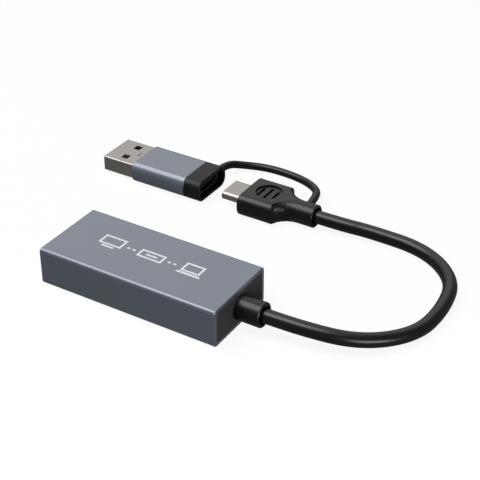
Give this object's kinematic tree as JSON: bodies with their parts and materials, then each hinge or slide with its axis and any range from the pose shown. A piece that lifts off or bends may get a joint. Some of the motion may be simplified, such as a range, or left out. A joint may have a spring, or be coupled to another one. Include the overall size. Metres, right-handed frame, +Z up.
{
  "type": "video capture box",
  "caption": "Slim aluminium video capture box with a video socket in one end and a short cable to a reversible plug; a tethered adapter slides over the plug.",
  "frame": {"origin": "middle of the box's underside", "axes": "+X along the box to the end that the cable leaves, +Y across the box to the side where the plugs lie, +Z up out of the box's top"},
  "size_m": [0.1124, 0.0791, 0.0102],
  "materials": {
    "anodised_aluminium": "fine satin, anodised blue-grey",
    "black_plastic": "matt moulded",
    "soft_black": "satin soft moulding",
    "cable_jacket": "satin extruded jacket",
    "tether_rubber": "satin",
    "nickelled_steel": "bright nickel over folded steel",
    "gilded_brass": "gold flash",
    "blue_plastic": "matt moulded",
    "circuit_board": "solder mask over glass fibre laminate",
    "chip_black": "moulded chip body, tinned leads",
    "ferrite": "sintered ferrite",
    "ceramic": "fired ceramic, tinned ends",
    "wire_insulation": "thin insulation"
  },
  "bodies": {
    "capture_box": {"housing_sleeve": "anodised_aluminium", "socket_end_cap": "black_plastic", "cable_end_cap": "black_plastic", "main_board": "circuit_board", "video_socket_shell": "nickelled_steel", "video_socket_insulator": "black_plastic", "video_socket_contacts": "gilded_brass", "capture_chip": "chip_black", "memory_chip": "chip_black", "voltage_regulator": "chip_black", "clock_crystal": "nickelled_steel", "power_inductor": "ferrite", "board_capacitors": "ceramic", "board_resistors": "chip_black", "strain_relief_boot": "soft_black", "cable_end_in_box": "cable_jacket", "box_wires": "wire_insulation", "main_cable": "cable_jacket", "plug_overmould": "soft_black", "plug_shell": "nickelled_steel", "plug_insulator": "black_plastic", "plug_contacts": "gilded_brass", "plug_board": "circuit_board", "plug_wires": "wire_insulation", "cable_end_in_plug": "cable_jacket", "tether": "tether_rubber"},
    "adapter": {"adapter_sleeve": "anodised_aluminium", "adapter_cap": "black_plastic", "adapter_board": "circuit_board", "adapter_resistors": "chip_black", "receptacle_shell": "nickelled_steel", "receptacle_insulator": "black_plastic", "receptacle_contacts": "gilded_brass", "host_plug_shell": "nickelled_steel", "host_plug_insulator": "blue_plastic", "host_plug_contacts": "gilded_brass"}
  },
  "joints": [
    {"name": "adapter_slide", "type": "slide", "parent": "capture_box", "child": "adapter", "axis": [1, 0, 0], "range_m": [0, 0.0119], "deforming": ["tether"]}
  ]
}
